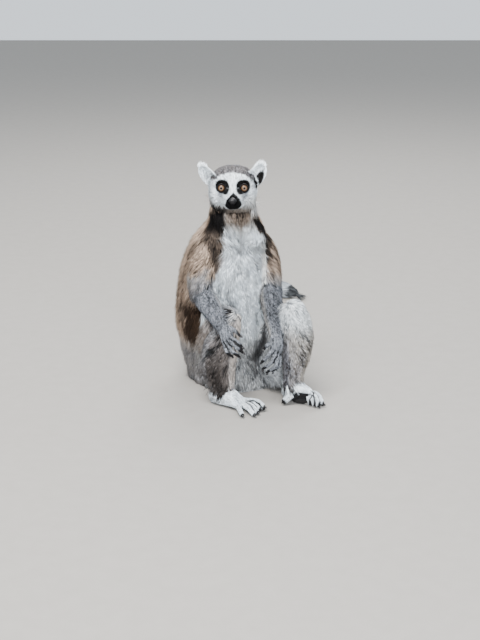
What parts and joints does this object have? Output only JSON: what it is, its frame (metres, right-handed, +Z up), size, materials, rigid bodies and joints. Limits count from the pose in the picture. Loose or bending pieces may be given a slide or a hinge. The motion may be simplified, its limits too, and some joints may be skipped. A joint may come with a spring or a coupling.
{
  "type": "ring-tailed lemur",
  "caption": "Life-size still model of a ring-tailed lemur sitting upright on its rump, forearms resting on its thighs and long tail laid out behind it.",
  "frame": {"origin": "centre of the rump's seat, on the floor plane", "axes": "+Z up; the face looks along -Y and the tail runs back along +Y; the animal's right side is at -X"},
  "size_m": [0.2494, 0.6947, 0.3863],
  "materials": {
    "pale_coat": "short pale grey to white fur",
    "grey_coat": "grey fur, ringed black and white on the tail",
    "brown_coat": "taupe-brown fur",
    "hand_skin": "dark leathery skin with a thin grey coat on top",
    "nose_leather": "black, slightly moist leather",
    "amber_eye": "glossy amber iris with a dark pupil"
  },
  "bodies": {
    "root": {"head": "pale_coat", "muzzle": "pale_coat", "ear_right": "pale_coat", "ear_left": "pale_coat", "eye_right": "amber_eye", "eye_left": "amber_eye", "nose": "nose_leather", "neck": "grey_coat", "chest": "pale_coat", "belly": "pale_coat", "rump": "grey_coat", "thigh_right": "grey_coat", "thigh_left": "grey_coat", "shin_right": "pale_coat", "shin_left": "pale_coat", "foot_right": "pale_coat", "foot_left": "pale_coat", "big_toe_right": "pale_coat", "second_toe_right": "pale_coat", "third_toe_right": "pale_coat", "fourth_toe_right": "pale_coat", "little_toe_right": "pale_coat", "big_toe_left": "pale_coat", "second_toe_left": "pale_coat", "third_toe_left": "pale_coat", "fourth_toe_left": "pale_coat", "little_toe_left": "pale_coat", "upper_arm_right": "brown_coat", "upper_arm_left": "brown_coat", "forearm_right": "grey_coat", "forearm_left": "grey_coat", "hand_right": "grey_coat", "hand_left": "grey_coat", "thumb_right": "hand_skin", "index_finger_right": "hand_skin", "middle_finger_right": "hand_skin", "ring_finger_right": "hand_skin", "little_finger_right": "hand_skin", "thumb_left": "hand_skin", "index_finger_left": "hand_skin", "middle_finger_left": "hand_skin", "ring_finger_left": "hand_skin", "little_finger_left": "hand_skin", "tail_1": "grey_coat", "tail_2": "grey_coat", "tail_3": "grey_coat", "tail_4": "grey_coat", "tail_5": "grey_coat", "tail_6": "grey_coat"}
  },
  "joints": []
}
